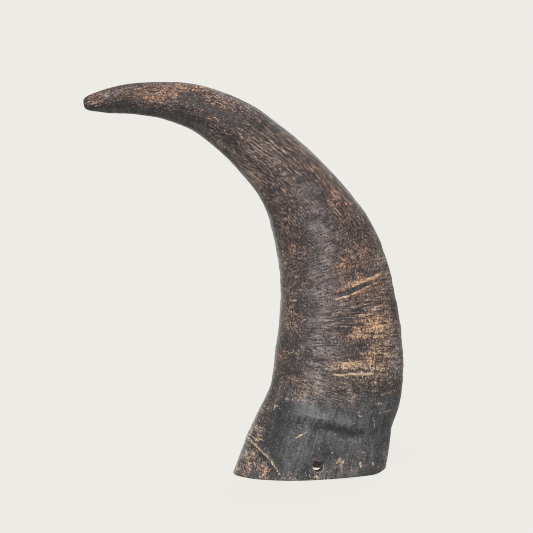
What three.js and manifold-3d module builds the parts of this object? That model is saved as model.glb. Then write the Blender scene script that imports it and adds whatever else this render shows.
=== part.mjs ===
// A natural horn blown as a wind instrument. It is one hollow sheath of horn: a wide bell
// cavity narrows through a curved cone into a thin bore, which opens in the nose of the tip.
// Millimetres, +Z up. The horn stands on the flat cut of its bell at z = 0, and curves up
// and over towards -X. The origin is the middle of the overall box, on that flat cut.

import * as THREE from 'three';
import { mergeVertices } from 'three/addons/utils/BufferGeometryUtils.js';
import Module from 'manifold-3d';

// Matching points on the inner and the outer edge of the curve, from just below the bell's
// cut to the tip, all in the middle plane: [inner x, inner z, outer x, outer z].
const EDGES = [
  [-9.0, -7.0, 88.4, -28.0],
  [1.9, 23.0, 91.9, -3.0],
  [11.9, 44.5, 95.4, 19.0],
  [17.5, 57.0, 97.4, 31.0],
  [19.9, 68.0, 101.7, 45.0],
  [20.9, 78.0, 104.1, 66.0],
  [22.8, 92.0, 103.0, 91.0],
  [24.6, 114.5, 97.6, 124.0],
  [23.1, 136.0, 86.4, 157.0],
  [18.8, 158.4, 67.4, 185.3],
  [10.4, 179.9, 44.2, 209.9],
  [-6.1, 200.2, 21.0, 229.0],
  [-22.6, 216.7, -7.2, 246.1],
  [-44.1, 228.5, -37.9, 254.1],
  [-68.6, 234.1, -68.9, 254.2],
  [-85.6, 235.3, -86.6, 251.4],
  [-95.6, 236.2, -97.1, 248.1],
];

// The cross-section: flattened and egg-shaped at the bell, round at the tip.
const BELL_ROUNDNESS = 0.575; // front-to-back depth over width at the bell
const BELL_EGG = 0.26; // how strongly the deepest line leans to the inner edge
const BELL_KEEL = 0.2; // how much sharper than an ellipse the two edges are
const TIP_LEAN = 6; // the tip stands this far behind the bell's middle plane

// The nose: a rounded end with a small flat where the mouth hole opens.
const NOSE_LENGTH = 7.6;
const NOSE_FLAT_RADIUS = 2.9;

// The air column: the bell cavity, the bore and the flared mouth hole.
const BELL_WALL = 4.5;
const CAVITY_SHARE = 0.62; // share of the stations that the bell cavity reaches
const BORE_RADIUS = 1.6;
const MOUTH_RADIUS = 2.2;
const MOUTH_DEPTH = 5;

// A cord hole is drilled through the front wall, close above the cut of the bell.
const CORD_HOLE_RADIUS = 3.4;
const CORD_HOLE_X = 48.1;
const CORD_HOLE_Z = 8.7;
const CORD_HOLE_TURN = THREE.MathUtils.degToRad(8);
const CORD_HOLE_DRILL = 30;

// How finely the surfaces are faceted.
const OUTER_SIDES = 48;
const OUTER_RINGS = 46;
const NOSE_RINGS = 5;
const AIR_SIDES = 24;
const AIR_RINGS = 40;
const DRILL_SIDES = 24;

const edgePoint = (x, z) => new THREE.Vector3(x, 0, z);
const innerEdge = splineThrough(EDGES.map(([x, z]) => edgePoint(x, z)));
const outerEdge = splineThrough(EDGES.map(([, , x, z]) => edgePoint(x, z)));

function splineThrough(points) {
  return new THREE.CatmullRomCurve3(points, false, 'catmullrom', 0.5);
}

// The horn's cross-section at a share of the way from the bell (0) to the tip (1).
function sectionAt(share) {
  const inner = innerEdge.getPoint(share);
  const outer = outerEdge.getPoint(share);
  const fade = 1 - share * share;
  const across = outer.clone().sub(inner);
  const halfWidth = across.length() / 2;
  const centre = inner.add(outer).multiplyScalar(0.5);
  centre.y += TIP_LEAN * share * share;
  return {
    centre,
    across: across.normalize(),
    halfWidth,
    halfDepth: halfWidth * (1 - (1 - BELL_ROUNDNESS) * fade),
    egg: BELL_EGG * fade,
    keel: BELL_KEEL * fade,
  };
}

// One ring of points round a section. The angle runs from the outer edge over the back.
function ringOf({ centre, across, halfWidth, halfDepth, egg, keel }, sides) {
  const ring = [];
  for (let side = 0; side < sides; side += 1) {
    const angle = (side / sides) * 2 * Math.PI;
    const height = Math.sin(angle);
    const depth = Math.sign(height) * Math.abs(height) ** (1 + keel) * (1 - egg * Math.cos(angle));
    const point = centre.clone().addScaledVector(across, halfWidth * Math.cos(angle));
    point.y += halfDepth * depth;
    ring.push(point);
  }
  return ring;
}

// The direction in which the tip points.
function tipDirection() {
  return sectionAt(1).centre.sub(sectionAt(0.99).centre).normalize();
}

// A ring beyond the last station, moved along the tip's direction and made round.
function tipRing(advance, radius, sides) {
  const section = sectionAt(1);
  section.centre.addScaledVector(tipDirection(), advance);
  return ringOf({ ...section, halfWidth: radius, halfDepth: radius }, sides);
}

function outerRings() {
  const rings = [];
  for (let step = 0; step <= OUTER_RINGS; step += 1) {
    rings.push(ringOf(sectionAt(step / OUTER_RINGS), OUTER_SIDES));
  }
  const tipRadius = sectionAt(1).halfWidth;
  for (let step = 1; step <= NOSE_RINGS; step += 1) {
    const angle = (step / NOSE_RINGS) * (Math.PI / 2);
    const radius = THREE.MathUtils.lerp(NOSE_FLAT_RADIUS, tipRadius, Math.cos(angle));
    rings.push(tipRing(NOSE_LENGTH * Math.sin(angle), radius, OUTER_SIDES));
  }
  return rings;
}

// The air column's ring: the horn's own section less its wall, which thickens until only
// the bore is left.
function airRing(share) {
  const section = sectionAt(share);
  const closing = Math.min(share / CAVITY_SHARE, 1) ** 3;
  const narrow = (half) => THREE.MathUtils.lerp(half - BELL_WALL, BORE_RADIUS, closing);
  const fade = 1 - closing;
  return ringOf({
    ...section,
    halfWidth: narrow(section.halfWidth),
    halfDepth: narrow(section.halfDepth),
    egg: section.egg * fade,
    keel: section.keel * fade,
  }, AIR_SIDES);
}

function airRings() {
  const rings = [];
  for (let step = 0; step <= AIR_RINGS; step += 1) {
    rings.push(airRing(step / AIR_RINGS));
  }
  const overrun = 1;
  rings.push(tipRing(NOSE_LENGTH - MOUTH_DEPTH, BORE_RADIUS, AIR_SIDES));
  rings.push(tipRing(NOSE_LENGTH, MOUTH_RADIUS, AIR_SIDES));
  rings.push(tipRing(NOSE_LENGTH + overrun, MOUTH_RADIUS, AIR_SIDES));
  return rings;
}

// A closed skin over a row of rings, with a flat cap at each end.
function loft(rings) {
  const sides = rings[0].length;
  const last = rings.length - 1;
  const points = rings.flat();
  const middleOf = (ring) => ring.reduce((sum, p) => sum.add(p), new THREE.Vector3()).divideScalar(sides);
  const firstMiddle = points.push(middleOf(rings[0])) - 1;
  const lastMiddle = points.push(middleOf(rings[last])) - 1;
  const faces = [];
  for (let side = 0; side < sides; side += 1) {
    const next = (side + 1) % sides;
    for (let row = 0; row < last; row += 1) {
      const low = row * sides;
      const high = low + sides;
      faces.push(low + side, low + next, high + side);
      faces.push(low + next, high + next, high + side);
    }
    faces.push(firstMiddle, next, side);
    faces.push(lastMiddle, last * sides + side, last * sides + next);
  }
  const geometry = new THREE.BufferGeometry().setFromPoints(points);
  geometry.setIndex(faces);
  return geometry;
}

// The drill's path lies across the front wall, and turns with the wall about the Z axis.
function cordHoleDrill() {
  const drill = new THREE.CylinderGeometry(
    CORD_HOLE_RADIUS, CORD_HOLE_RADIUS, CORD_HOLE_DRILL, DRILL_SIDES,
  );
  drill.rotateZ(CORD_HOLE_TURN);
  drill.translate(CORD_HOLE_X, -sectionAt(0).halfDepth, CORD_HOLE_Z);
  return drill;
}

// Everything below the flat cut of the bell.
function belowTheCut() {
  const size = 300;
  return new THREE.BoxGeometry(size, size, size).translate(0, 0, -size / 2);
}

const wasm = await Module();
wasm.setup();

function toSolid(geometry) {
  geometry.deleteAttribute('normal');
  geometry.deleteAttribute('uv');
  const merged = mergeVertices(geometry);
  return new wasm.Manifold(new wasm.Mesh({
    numProp: 3,
    vertProperties: new Float32Array(merged.attributes.position.array),
    triVerts: new Uint32Array(merged.index.array),
  }));
}

function toGeometry(solid) {
  const mesh = solid.getMesh();
  const geometry = new THREE.BufferGeometry();
  geometry.setAttribute('position', new THREE.BufferAttribute(mesh.vertProperties, 3));
  geometry.setIndex(new THREE.BufferAttribute(mesh.triVerts, 1));
  geometry.computeVertexNormals();
  return geometry;
}

function hornGeometry() {
  const solid = toSolid(loft(outerRings()))
    .subtract(toSolid(loft(airRings())))
    .subtract(toSolid(cordHoleDrill()))
    .subtract(toSolid(belowTheCut()));
  return toGeometry(solid);
}

const darkHorn = new THREE.MeshStandardMaterial({ color: 0x5c534f, roughness: 0.6, metalness: 0 });
const horn = new THREE.Mesh(hornGeometry(), darkHorn);
horn.name = 'horn';

const shofar = new THREE.Group();
shofar.add(horn);

export default shofar;
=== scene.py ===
"""Looks of a natural-horn shofar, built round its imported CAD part.

Blender works in metres. The horn's own measures below are in millimetres, as in the CAD part.
"""

import math
from types import SimpleNamespace

import bpy
import numpy as np
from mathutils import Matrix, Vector, noise


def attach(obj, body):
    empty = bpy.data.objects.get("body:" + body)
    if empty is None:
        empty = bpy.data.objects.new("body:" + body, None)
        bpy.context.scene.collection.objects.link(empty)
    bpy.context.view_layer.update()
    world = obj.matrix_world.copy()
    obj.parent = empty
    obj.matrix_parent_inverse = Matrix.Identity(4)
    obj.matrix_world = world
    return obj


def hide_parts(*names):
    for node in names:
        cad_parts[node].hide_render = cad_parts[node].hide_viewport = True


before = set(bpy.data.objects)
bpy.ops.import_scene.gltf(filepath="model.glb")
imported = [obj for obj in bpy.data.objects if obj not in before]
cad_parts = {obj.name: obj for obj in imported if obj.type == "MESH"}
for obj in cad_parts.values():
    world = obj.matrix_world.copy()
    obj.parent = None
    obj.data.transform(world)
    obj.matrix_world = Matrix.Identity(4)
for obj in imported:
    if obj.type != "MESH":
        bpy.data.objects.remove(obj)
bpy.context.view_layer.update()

MM = 0.001
FAR = 1e9

# ---- The horn's form, with the same stations and proportions as the CAD part ----

# Matching points on the inner and the outer edge of the curve: inner x, z, outer x, z.
EDGES = np.array([
    (-9.0, -7.0, 88.4, -28.0),
    (1.9, 23.0, 91.9, -3.0),
    (11.9, 44.5, 95.4, 19.0),
    (17.5, 57.0, 97.4, 31.0),
    (19.9, 68.0, 101.7, 45.0),
    (20.9, 78.0, 104.1, 66.0),
    (22.8, 92.0, 103.0, 91.0),
    (24.6, 114.5, 97.6, 124.0),
    (23.1, 136.0, 86.4, 157.0),
    (18.8, 158.4, 67.4, 185.3),
    (10.4, 179.9, 44.2, 209.9),
    (-6.1, 200.2, 21.0, 229.0),
    (-22.6, 216.7, -7.2, 246.1),
    (-44.1, 228.5, -37.9, 254.1),
    (-68.6, 234.1, -68.9, 254.2),
    (-85.6, 235.3, -86.6, 251.4),
    (-95.6, 236.2, -97.1, 248.1),
])
BELL_ROUNDNESS = 0.575  # depth over width of the bell's section; the tip's section is round
BELL_EGG = 0.26  # how much thinner the bell's section is towards its outer edge
BELL_KEEL = 0.2  # how much the bell's section narrows at its two edges
TIP_LEAN = 6.0  # how far the tip leans to the back
NOSE_LENGTH = 7.85
NOSE_ROUNDING = 8.3  # the nose would close to a point here if it had no mouth hole
NOSE_TAPER = 0.17
BELL_WALL = 4.5
CAVITY_SHARE = 0.62  # the bell's cavity has narrowed to the bore this far along
BORE_RADIUS = 1.6
MOUTH_RADIUS = 2.2
MOUTH_DEPTH = 5.0
CORD_HOLE = {"x": 48.1, "z": 8.7, "radius": 3.4, "turn": math.radians(8)}
FRONT_RIM_WEAR = 0.9
RIM_END_RISE = 2.2  # the rim rises this much at the outer end of the bell

# The mesh: a closed grid, columns round the horn and rows along it.
COLUMNS = 192
ROW_STEP = 1.05
RIM_ROWS = (0.0, 0.15, 0.4, 0.75, 1.2, 1.8, 2.6, 3.5)  # close rows where the rim's corner is rounded
RIM_SHEAR_REACH = 90.0  # rows turn from the cut's plane to the horn's own sections over this length
RIM_SEARCH = np.linspace(0, 60, 241)  # lengths along the horn between which the rim lies
NOSE_ROWS = 10
CAVITY_ROW_STEP = 3.0
CAVITY_CLOSE_ROWS = 30.0  # the cavity's rows are 1 mm apart over this length from the rim
BORE_ROWS = 14
CUT_ROWS = 4  # rows across the cut face of the rim
HOLE_REACH = 7  # the grid is opened this many cells to each side of the cord hole

ANGLES = np.arange(COLUMNS) / COLUMNS * 2 * math.pi


def unit(vectors):
    return vectors / np.maximum(np.linalg.norm(vectors, axis=-1, keepdims=True), 1e-9)


def natural_spline(values, at):
    """The smooth cubic through equally spaced values, read at places from 0 to 1."""
    count = len(values)
    bend = np.eye(count)
    pull = np.zeros(values.shape)
    for i in range(1, count - 1):
        bend[i, i - 1:i + 2] = (1, 4, 1)
        pull[i] = 6 * (values[i - 1] - 2 * values[i] + values[i + 1])
    curve = np.linalg.solve(bend, pull)
    place = np.clip(at, 0, 1) * (count - 1)
    left = np.minimum(place.astype(int), count - 2)
    b = (place - left)[..., None]
    a = 1 - b
    return (a * values[left] + b * values[left + 1]
            + ((a**3 - a) * curve[left] + (b**3 - b) * curve[left + 1]) / 6)


def section(share):
    """The cross-section at a share of the way from below the bell's cut (0) to the tip (1)."""
    edge = natural_spline(EDGES, share)
    inner, outer = edge[..., :2], edge[..., 2:]
    fade = 1 - share**2
    across = outer - inner
    width = np.linalg.norm(across, axis=-1)
    middle = (inner + outer) / 2
    zero = np.zeros_like(width)
    return {
        "centre": np.stack([middle[..., 0], TIP_LEAN * share**2, middle[..., 1]], -1),
        "across": np.stack([across[..., 0] / width, zero, across[..., 1] / width], -1),
        "half_width": width / 2,
        "half_depth": width / 2 * (1 - (1 - BELL_ROUNDNESS) * fade),
        "egg": BELL_EGG * fade,
        "keel": BELL_KEEL * fade,
    }


def ring_point(cut, angle):
    """The point of a section at an angle: 0 is the outer edge, a quarter turn is the back."""
    height = np.sin(angle)
    depth = np.sign(height) * np.abs(height) ** (1 + cut["keel"]) * (1 - cut["egg"] * np.cos(angle))
    flat = cut["half_width"] * np.cos(angle)
    deep = cut["half_depth"] * depth
    point = cut["centre"] + cut["across"] * flat[..., None]
    point[..., 1] += deep
    return point, flat, deep


# Length along the middle line, so that rows and surface patterns can be placed in millimetres.
SHARES = np.linspace(0, 1, 1201)
MIDDLE_LINE = section(SHARES)["centre"]
MIDDLE_STEPS = np.linalg.norm(np.diff(MIDDLE_LINE, axis=0), axis=1)
LENGTHS = np.concatenate([[0], np.cumsum(MIDDLE_STEPS)])
SHAFT_LENGTH = LENGTHS[-1]
TIP = section(np.array([1.0]))
TIP_RADIUS = TIP["half_width"][0]
TIP_DIRECTION = unit(MIDDLE_LINE[-1] - MIDDLE_LINE[-5])


def share_of(length):
    return np.interp(length, LENGTHS, SHARES)


def length_of(share):
    return float(np.interp(share, SHARES, LENGTHS))


def round_ring(advance, radius):
    """A round ring beyond the last station, on the tip's own direction."""
    cut = {key: np.repeat(value, COLUMNS, axis=0) for key, value in TIP.items()}
    cut["centre"] = cut["centre"] + TIP_DIRECTION * advance
    cut["half_width"] = np.full(COLUMNS, float(radius))
    cut["half_depth"] = cut["half_width"]
    point, flat, deep = ring_point(cut, ANGLES)
    along = np.full(COLUMNS, SHAFT_LENGTH + advance)
    return [part[None] for part in (point, along, flat, deep)]


def air_section(share):
    """The air column's section: the horn's own, less a wall that thickens until only the bore is left."""
    cut = section(share)
    closing = np.minimum(share / CAVITY_SHARE, 1) ** 3
    for key in ("half_width", "half_depth"):
        cut[key] = (cut[key] - BELL_WALL) * (1 - closing) + BORE_RADIUS * closing
    for key in ("egg", "keel"):
        cut[key] = cut[key] * (1 - closing)
    return cut


def sheared(rows, start):
    """Lengths of the rows per column: parallel to the rim at first, then across the horn."""
    rows = np.asarray(rows)[:, None]
    return rows + start[None, :] * np.clip(1 - rows / RIM_SHEAR_REACH, 0, 1) ** 2


def skin(section_of, lengths):
    point, flat, deep = ring_point(section_of(share_of(lengths)), ANGLES)
    return point, lengths, flat, deep


def length_at_height(section_of, height):
    """For each column, the length along the horn at which a surface reaches a height near the rim."""
    heights = skin(section_of, RIM_SEARCH[:, None] + 0 * ANGLES)[0][..., 2]
    return np.array([np.interp(height[i], heights[:, i], RIM_SEARCH) for i in range(COLUMNS)])


def joined(*parts):
    """Parts of a grid, each of points, length along the horn and the section's own axes, as one."""
    return [np.concatenate(grids) for grids in zip(*parts)]


def rim_height():
    """The rim is cut flat, a little worn on the front, and rounded off at its outer end."""
    worn = np.clip(-np.sin(ANGLES), 0, 1) * np.clip(0.25 + np.cos(ANGLES), 0, 1)
    outer_end = np.clip((np.cos(ANGLES) - 0.8) / 0.2, 0, 1)
    return FRONT_RIM_WEAR * worn + RIM_END_RISE * outer_end**2


def outer_sheet():
    start = length_at_height(section, rim_height())
    evenly = np.arange(RIM_ROWS[-1] + ROW_STEP, SHAFT_LENGTH, ROW_STEP)
    nose = []
    for step in range(1, NOSE_ROWS + 1):
        advance = NOSE_LENGTH * math.sin(step / NOSE_ROWS * math.pi / 2)
        closing = (1 - (advance / NOSE_ROUNDING) ** 3) ** (1 / 3)
        nose.append(round_ring(advance, (TIP_RADIUS - NOSE_TAPER * advance) * closing))
    return joined(skin(section, sheared(np.concatenate([RIM_ROWS, evenly]), start)), *nose)


# The mouth hole, from its rounded edge inwards: distance past the nose's end, radius.
MOUTH_RINGS = (
    (0.08, MOUTH_RADIUS + 0.25),
    (-0.05, MOUTH_RADIUS + 0.1),
    (-0.4, MOUTH_RADIUS),
    (-MOUTH_DEPTH / 2, (MOUTH_RADIUS + BORE_RADIUS) / 2),
    (-MOUTH_DEPTH, BORE_RADIUS),
)


def air_sheet():
    """The inside, from the mouth hole in the nose back to the rim."""
    mouth = [round_ring(NOSE_LENGTH + advance, radius) for advance, radius in MOUTH_RINGS]
    cavity_end = length_of(CAVITY_SHARE)
    start = length_at_height(air_section, rim_height())
    bore = np.linspace(SHAFT_LENGTH - 1, cavity_end, BORE_ROWS)[:-1]
    cavity = np.arange(CAVITY_CLOSE_ROWS + CAVITY_ROW_STEP, cavity_end, CAVITY_ROW_STEP)[::-1]
    near_rim = np.arange(0, CAVITY_CLOSE_ROWS + 1)[::-1]
    return joined(*mouth, skin(air_section, sheared(np.concatenate([bore, cavity, near_rim]), start)))


def normals_of(points):
    """Outward normals of a grid of rows and columns."""
    along = np.gradient(points, axis=0)
    around = np.roll(points, -1, axis=1) - np.roll(points, 1, axis=1)
    return unit(np.cross(around, along))


# ---- Relief: slow unevenness, growth rings, the groove above the bell and small ridges ----

# Layers of unevenness: height, size of the features, seed.
SKIN_LAYERS = ((0.45, 42.0, 3.1), (0.2, 15.0, 7.7), (0.07, 2.4, 31.0))
RING_LAYERS = ((0.3, 6.5, 1.9), (0.14, 2.6, 5.3))
FAINT_RING_LAYERS = ((0.1, 9.0, 23.0),)
FLUTE_LAYERS = ((0.16, 4.5, 2.2),)
CAVITY_LAYERS = ((0.5, 30.0, 51.0),)
CAVITY_STREAK_LAYERS = ((0.15, 6.0, 53.0),)

GROOVE_AT = length_of(3 / 16)  # the growth groove follows the horn's own section here
GROOVE_DEPTH = 1.1
GROOVE_HALF_WIDTH = 4.2
GROOVE_WANDER = 1.6
SWELL_HEIGHT = 0.6  # the skin swells above the groove
SWELL_HALF_WIDTH = 6.5
SWELL_OFFSET = 10

FIBRE_RADIUS = 30.0  # fibres crowd together towards the tip, but less than the horn narrows
FIBRE_TWIST = 0.008  # the grain winds slowly round the arm: 1 radian in 125 mm
FIBRE_TWIST_START = 160.0

# Raised lines and, below zero, hollows: points as x, z; then height and half width.
FRONT_RIDGES = (
    (((30, 40.5), (44, 39.5), (55, 37.2), (65, 34.6), (80, 32.5)), 1.4, 4),
    (((59.7, 118.6), (66, 120.5), (70, 122), (77, 125), (82.5, 127.4), (89.5, 130)), 0.8, 1.5),
    (((58.7, 113.7), (66.4, 115.7), (71.6, 117.6), (80.6, 122.1), (90.3, 126)), 0.7, 1.5),
    (((56.5, 66.6), (66, 66.4), (75, 66.7), (82, 66.6)), 0.4, 1.3),
    (((26, 62), (22.5, 50.5), (19, 38), (15.4, 24.6)), 0.9, 1.6),
    (((4, 24.2), (11, 18.5), (17.6, 12.6), (23.5, 4)), 0.5, 1.6),
    (((49, 33.4), (58, 30.6), (66, 28.4), (77, 27)), -0.9, 2.6),
)
BACK_RIDGES = (
    (((86, 116), (74, 112), (60, 109)), 0.5, 1.5),
    (((80, 148), (66, 143), (52, 141)), 0.4, 1.4),
    (((70, 74), (56, 76.5), (40, 81)), 0.45, 1.6),
    (((18, 44), (14, 24), (9, 6)), 0.6, 2.4),
)
# Slow swells and hollows that show in the outline: x, z, reach, height.
SWELLS = (
    (69.6, 167.2, 19, 0.8), (-64, 253.5, 14, 0.55), (-40, 254.7, 14, 0.55), (5, 236, 10, 0.5),
    (95, 130, 10, 0.4), (20.2, 154.5, 24, -0.5), (-4, 210, 9, -0.7),
)


def cloud(points, size, seed):
    """Smooth noise between about -1 and 1, with features of a size, at points in millimetres."""
    flat = points.reshape(-1, 3) / size + seed
    values = [noise.noise(Vector(point)) for point in flat]
    return np.array(values).reshape(points.shape[:-1]) * 1.6


def layered(points, layers):
    return sum(height * cloud(points, size, seed) for height, size, seed in layers)


def smooth_step(low, high, value):
    t = np.clip((value - low) / (high - low), 0, 1)
    return t * t * (3 - 2 * t)


def distance_to_path(x, z, path):
    """Distance in the x, z plane from places to an open path of straight stretches."""
    nearest = np.full(x.shape, FAR)
    for (x0, z0), (x1, z1) in zip(path, path[1:]):
        dx, dz = x1 - x0, z1 - z0
        t = np.clip(((x - x0) * dx + (z - z0) * dz) / (dx * dx + dz * dz), 0, 1)
        nearest = np.minimum(nearest, np.hypot(x - x0 - t * dx, z - z0 - t * dz))
    return nearest


def facing_front(deep, along):
    """1 on the front (-Y) half, 0 on the back half, turning smoothly at the two edges."""
    half_depth = section(share_of(along))["half_depth"]
    return smooth_step(-0.25, 0.25, -deep / half_depth)


def growth_rings(along, flat, deep):
    """Rings across the horn, closest and strongest between the groove and the bend."""
    place = np.stack([along * 0.4, flat, deep], -1)
    wander = 5.0 * cloud(place, 38.0, 11.3)
    ring_place = np.stack([along + wander, 0.12 * flat, 0.12 * deep], -1)
    strength = smooth_step(60, 100, along) * (1 - 0.75 * smooth_step(150, 210, along))
    outer_side = 0.45 + 0.55 * smooth_step(-0.3, 0.7, np.cos(ANGLES))[None, :]
    rings = strength * outer_side * layered(ring_place, RING_LAYERS)
    return rings + layered(ring_place, FAINT_RING_LAYERS)


def fibre_turn(along):
    """The angle round the horn at which the fibre at each place leaves the bell."""
    return ANGLES + FIBRE_TWIST * np.maximum(along - FIBRE_TWIST_START, 0)


def flutes(along):
    """Long shallow flutes along the arm, which follow the fibres."""
    turn = fibre_turn(along)
    place = np.stack([along * 0.08, FIBRE_RADIUS * np.cos(turn), FIBRE_RADIUS * np.sin(turn)], -1)
    return smooth_step(150, 220, along) * layered(place, FLUTE_LAYERS)


def growth_groove(place, along):
    """The groove above the bell and the swell over it. Both are weaker at the curve's two edges."""
    offset = along - GROOVE_AT - GROOVE_WANDER * np.sin(2 * ANGLES + 0.6)[None, :]
    edge = np.abs(np.cos(ANGLES))[None, :] ** 3
    depth = GROOVE_DEPTH * (1 - 0.75 * edge) * (0.75 + 0.25 * cloud(place, 18.0, 9.0))
    groove = depth * np.exp(-(offset / GROOVE_HALF_WIDTH) ** 2)
    swell = np.exp(-((offset - SWELL_OFFSET) / SWELL_HALF_WIDTH) ** 2)
    return SWELL_HEIGHT * (1 - 0.7 * edge) * swell - groove


def relief(points, along, flat, deep):
    """Height of the real surface over the smooth form, for the outer grid."""
    place = np.stack([along, flat, deep], -1)
    front = facing_front(deep, along)
    x, z = points[..., 0], points[..., 2]
    height = layered(place, SKIN_LAYERS) + growth_rings(along, flat, deep)
    height += flutes(along) + growth_groove(place, along)
    for at_x, at_z, reach, rise in SWELLS:
        height += rise * np.exp(-((x - at_x) ** 2 + (z - at_z) ** 2) / reach**2)
    for ridges, side in ((FRONT_RIDGES, front), (BACK_RIDGES, 1 - front)):
        for path, rise, half_width in ridges:
            away = distance_to_path(x, z, path)
            height += side * rise * np.exp(-(away / half_width) ** 2)
    nose = smooth_step(SHAFT_LENGTH - 12, SHAFT_LENGTH + 4, along)
    return height * (1 - 0.8 * nose)


def rounded_corner(points, along, normal, radius, start):
    """Pull the rim's first rows in so that the corner of the cut is rounded."""
    rest = np.clip(radius - (along - start), 0, None)
    pull = radius - np.sqrt(np.maximum(radius**2 - rest**2, 0))
    return points - unit(normal * (1, 1, 0)) * pull[..., None]


# ---- Where the surface is worn, stained or scratched, and where highlights and shade are painted on it ----

# The pale mark carries painted highlights and reflections as well as pale skin; the dark mark carries
# painted shade as well as dark skin.
MARK_NAMES = ("worn", "orange", "pale", "dark", "slate", "rippled", "lined", "scratch", "inside")
FIRST_MARK = 8  # a packed grid point has its x, y, z; along, flat, deep; two of its fibre; marks
MARK_AT = {name: FIRST_MARK + index for index, name in enumerate(MARK_NAMES)}
NO_SCRATCH = 5.0  # a distance from any scratch at which it doesn't show

# Soft patches: x, z, half length, half height, strength, and a turn in degrees where they have one.
FRONT_WORN = (
    # tip
    (-30, 251, 30, 3.5, 0.5, -8), (-54, 245, 12, 5, 0.55), (-20, 244, 14, 3, 0.32, -20),
    (-70, 243, 20, 3.4, 0.12, 5), (-12, 242, 9, 5, 0.5, -25), (-97, 241, 6, 4, 0.5),
    (-50, 236, 9, 4, 0.1), (-15, 223, 4, 3, 0.4, -35), (-13, 213, 12, 3, 0.8, -38),
    # arm
    (2, 236, 6, 4, 0.5, -40), (28, 220, 6, 4, 0.3, -45), (24, 214, 18, 5, 0.3, -45),
    (2, 212, 22, 6, 0.12, -42), (22, 201, 16, 5, 0.3, -50), (6, 193, 14, 4.5, 0.8, -45),
    (17, 192, 5, 3, 0.4, -45), (29, 182, 3.5, 3, 0.1), (54, 182, 16, 6, 0.3, -55), (60, 178, 6, 6, 0.6),
    (67, 175, 5, 5, 0.35), (36, 168, 7, 7, 0.15), (36, 157, 4, 3, 0.4),
    # middle
    (33, 144, 6, 5, 0.25), (74, 143, 15, 4, 0.17, 25), (90, 140, 4, 18, 0.38, 15),
    (67, 137, 7, 4, 0.2, 20), (26, 135, 4, 9, 0.6), (74, 124.8, 17, 2.4, 0.5, 18),
    (26, 120, 3, 26, 0.3), (88, 120, 5, 12, 0.3, 15), (76, 118.6, 15, 1.2, 0.3, 24),
    (91, 111, 4, 5, 0.55), (76, 108, 20, 5, 0.12, 6), (29, 104, 3, 8, 0.5), (31, 104, 6, 7, 0.35, 20),
    (82, 103, 10, 8, 0.5, 5), (33, 100, 5, 5, 0.7), (42, 99, 2, 6, 0.5), (80, 99, 4, 4, 1),
    (85, 97, 8, 6, 1.1), (93, 96, 4, 14, 0.25), (82, 95, 13, 5, 0.75, 5), (87, 91, 6, 4, 0.8),
    (74, 90.5, 14, 2.2, 0.7, 3), (31, 80.5, 6, 2, 0.4, -14), (87, 79, 8, 19, 0.6), (80, 75, 5, 5, 0.95),
    (83, 74, 2.6, 12, 0.7), (85, 74, 8, 6, 0.6), (69, 72.6, 12, 2.6, 0.95), (26, 72, 5, 8, 0.2),
    (94, 72, 5, 7, 0.5), (97, 71, 4, 14, 0.3), (45, 70, 8, 7, 0.25), (80, 69, 3.5, 8, 0.85),
    (72, 66, 8, 4, 0.45), (89, 65, 6, 5, 0.7), (39, 61, 6, 5, 0.65), (82, 61, 4, 6, 0.45),
    # bell
    (20, 58, 4, 8, 0.2, -12), (50, 58, 8, 8, 0.1), (38, 54, 10, 6, 0.6), (64, 52, 16, 5, 0.1),
    (28, 51, 6, 4, 0.35), (62, 48, 16, 4, 0.1, -5), (14, 44, 4, 6, 0.3, -12), (9, 31, 5, 10, 0.65, -14),
    (4, 26, 5, 14, 0.5, -20), (10, 25, 4, 4, 0.85), (14, 23, 4, 3, 0.6, -14), (5, 11, 11, 8, 0.74, 25),
    (13, 8, 6, 5, 0.8), (66, 7, 16, 5, 0.42, 4), (14, 5, 3, 5, 0.8), (88, 5, 6, 5, 0.3),
    (-5, 4, 6, 6, 0.8), (0, 4, 4, 5, 0.6), (47, 2, 8, 2.4, 0.7), (28, 1.5, 8, 3, 0.5),
)
FRONT_ORANGE = (
    # tip
    (-58, 247, 40, 6, 1), (-32, 243, 9, 3, 1, -15), (-24, 241, 7, 2.5, 0.9, -20),
    (-18, 235, 22, 8, 0.9, -27),
    # arm
    (56, 188, 20, 7, 0.6, -50), (29, 182, 4, 3.5, 1.4), (62, 172, 14, 9, 0.5, -60),
    (28, 166, 8, 14, 0.2), (57, 153, 6, 6, 0.4),
    # middle
    (33, 146, 5, 4, 0.6), (72, 141, 17, 6, 0.5, 22), (64, 137, 13, 10, 0.75, 20),
    (75, 124.6, 17, 1.9, 0.95, 19), (77, 118.9, 17, 1.6, 1.2, 22), (87, 115, 5, 12, 0.25, 15),
    (70, 107, 6, 5, 0.6, 20), (32, 100, 8, 10, 0.3), (83, 98, 12, 8, 0.8, 5), (76, 90.5, 12, 3, 0.7, 3),
    (88, 88, 5, 18, 0.4), (86, 80, 5, 9, 0.4), (26, 78, 5, 10, 0.45), (80, 76, 6, 4, 0.6),
    (68, 73, 10, 4, 0.6),
    # bell
    (31, 53, 8, 7, 0.85), (14, 24, 4, 3, 0.4), (12, 15, 8, 3, 0.3, -35), (12, 4, 6, 5, 0.6),
)
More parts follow.
